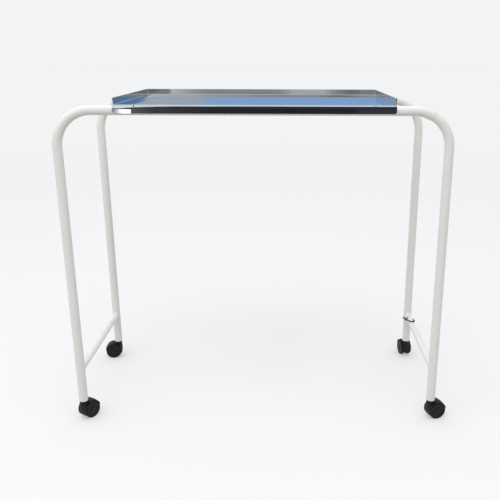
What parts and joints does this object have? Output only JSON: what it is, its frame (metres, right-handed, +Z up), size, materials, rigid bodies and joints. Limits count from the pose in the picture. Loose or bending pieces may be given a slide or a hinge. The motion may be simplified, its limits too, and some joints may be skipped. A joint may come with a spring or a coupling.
{
  "type": "instrument cart",
  "caption": "Mobile instrument cart: one long shallow polished tray on a bent white tube frame, with an open base on small twin-wheel casters.",
  "frame": {"origin": "centre of the bounding box at floor level, under the casters", "axes": "+X along the rails to the right as seen from the tray's open side, +Y from the open side to the back, +Z up"},
  "size_m": [1.0915, 0.4645, 0.9061],
  "materials": {
    "tube_paint": "warm white powder coat on mild steel tube, satin",
    "tray_steel": "bright polished stainless steel sheet, mirror-like",
    "rivet_steel": "stainless blind rivet, satin",
    "pin_steel": "drawn wire with a broken end",
    "tie_nylon": "black nylon, satin",
    "insert_nylon": "black nylon, satin",
    "stem_steel": "zinc-plated turned steel",
    "spring_steel": "dark spring steel",
    "hood_nylon": "black moulded nylon, satin",
    "wheel_nylon": "black moulded nylon, dusty on the tread",
    "cap_nylon": "black moulded nylon, satin"
  },
  "bodies": {
    "frame": {"front_rail_tube": "tube_paint", "rear_rail_tube": "tube_paint", "front_right_leg_tube": "tube_paint", "rear_left_leg_tube": "tube_paint", "left_cross_bar": "tube_paint", "right_cross_bar": "tube_paint", "tray": "tray_steel", "front_tray_rivets": "rivet_steel", "rear_tray_rivets": "rivet_steel", "front_rivet_pins": "pin_steel", "rear_rivet_pins": "pin_steel", "cable_tie": "tie_nylon", "front_left_leg_insert": "insert_nylon", "front_left_caster_stem": "stem_steel", "front_left_grip_ring": "spring_steel", "front_left_stem_clip": "spring_steel", "front_right_leg_insert": "insert_nylon", "front_right_caster_stem": "stem_steel", "front_right_grip_ring": "spring_steel", "front_right_stem_clip": "spring_steel", "rear_left_leg_insert": "insert_nylon", "rear_left_caster_stem": "stem_steel", "rear_left_grip_ring": "spring_steel", "rear_left_stem_clip": "spring_steel", "rear_right_leg_insert": "insert_nylon", "rear_right_caster_stem": "stem_steel", "rear_right_grip_ring": "spring_steel", "rear_right_stem_clip": "spring_steel"},
    "front_left_swivel": {"front_left_caster_hood": "hood_nylon", "front_left_axle": "stem_steel"},
    "front_left_wheel_a": {"front_left_wheel_a": "wheel_nylon", "front_left_hub_cap_a": "cap_nylon"},
    "front_left_wheel_b": {"front_left_wheel_b": "wheel_nylon", "front_left_hub_cap_b": "cap_nylon"},
    "front_right_swivel": {"front_right_caster_hood": "hood_nylon", "front_right_axle": "stem_steel"},
    "front_right_wheel_a": {"front_right_wheel_a": "wheel_nylon", "front_right_hub_cap_a": "cap_nylon"},
    "front_right_wheel_b": {"front_right_wheel_b": "wheel_nylon", "front_right_hub_cap_b": "cap_nylon"},
    "rear_left_swivel": {"rear_left_caster_hood": "hood_nylon", "rear_left_axle": "stem_steel"},
    "rear_left_wheel_a": {"rear_left_wheel_a": "wheel_nylon", "rear_left_hub_cap_a": "cap_nylon"},
    "rear_left_wheel_b": {"rear_left_wheel_b": "wheel_nylon", "rear_left_hub_cap_b": "cap_nylon"},
    "rear_right_swivel": {"rear_right_caster_hood": "hood_nylon", "rear_right_axle": "stem_steel"},
    "rear_right_wheel_a": {"rear_right_wheel_a": "wheel_nylon", "rear_right_hub_cap_a": "cap_nylon"},
    "rear_right_wheel_b": {"rear_right_wheel_b": "wheel_nylon", "rear_right_hub_cap_b": "cap_nylon"}
  },
  "joints": [
    {"name": "front_left_swivel_turn", "type": "hinge", "parent": "frame", "child": "front_left_swivel", "pos_m": [-0.5, -0.212, 0.04], "axis": [0, 0, 1], "continuous": true},
    {"name": "front_left_wheel_a_roll", "type": "hinge", "parent": "front_left_swivel", "child": "front_left_wheel_a", "pos_m": [-0.49025, -0.19807, 0.025], "axis": [-0.8192, 0.5736, 0], "continuous": true},
    {"name": "front_left_wheel_b_roll", "type": "hinge", "parent": "front_left_swivel", "child": "front_left_wheel_b", "pos_m": [-0.49025, -0.19807, 0.025], "axis": [-0.8192, 0.5736, 0], "continuous": true},
    {"name": "front_right_swivel_turn", "type": "hinge", "parent": "frame", "child": "front_right_swivel", "pos_m": [0.5, -0.212, 0.04], "axis": [0, 0, 1], "continuous": true},
    {"name": "front_right_wheel_a_roll", "type": "hinge", "parent": "front_right_swivel", "child": "front_right_wheel_a", "pos_m": [0.51617, -0.20675, 0.025], "axis": [-0.309, 0.9511, 0], "continuous": true},
    {"name": "front_right_wheel_b_roll", "type": "hinge", "parent": "front_right_swivel", "child": "front_right_wheel_b", "pos_m": [0.51617, -0.20675, 0.025], "axis": [-0.309, 0.9511, 0], "continuous": true},
    {"name": "rear_left_swivel_turn", "type": "hinge", "parent": "frame", "child": "rear_left_swivel", "pos_m": [-0.5, 0.188, 0.04], "axis": [0, 0, 1], "continuous": true},
    {"name": "rear_left_wheel_a_roll", "type": "hinge", "parent": "rear_left_swivel", "child": "rear_left_wheel_a", "pos_m": [-0.51683, 0.18563, 0.025], "axis": [0.1392, -0.9903, 0], "continuous": true},
    {"name": "rear_left_wheel_b_roll", "type": "hinge", "parent": "rear_left_swivel", "child": "rear_left_wheel_b", "pos_m": [-0.51683, 0.18563, 0.025], "axis": [0.1392, -0.9903, 0], "continuous": true},
    {"name": "rear_right_swivel_turn", "type": "hinge", "parent": "frame", "child": "rear_right_swivel", "pos_m": [0.5, 0.188, 0.04], "axis": [0, 0, 1], "continuous": true},
    {"name": "rear_right_wheel_a_roll", "type": "hinge", "parent": "rear_right_swivel", "child": "rear_right_wheel_a", "pos_m": [0.49763, 0.20483, 0.025], "axis": [-0.9903, -0.1392, 0], "continuous": true},
    {"name": "rear_right_wheel_b_roll", "type": "hinge", "parent": "rear_right_swivel", "child": "rear_right_wheel_b", "pos_m": [0.49763, 0.20483, 0.025], "axis": [-0.9903, -0.1392, 0], "continuous": true}
  ]
}
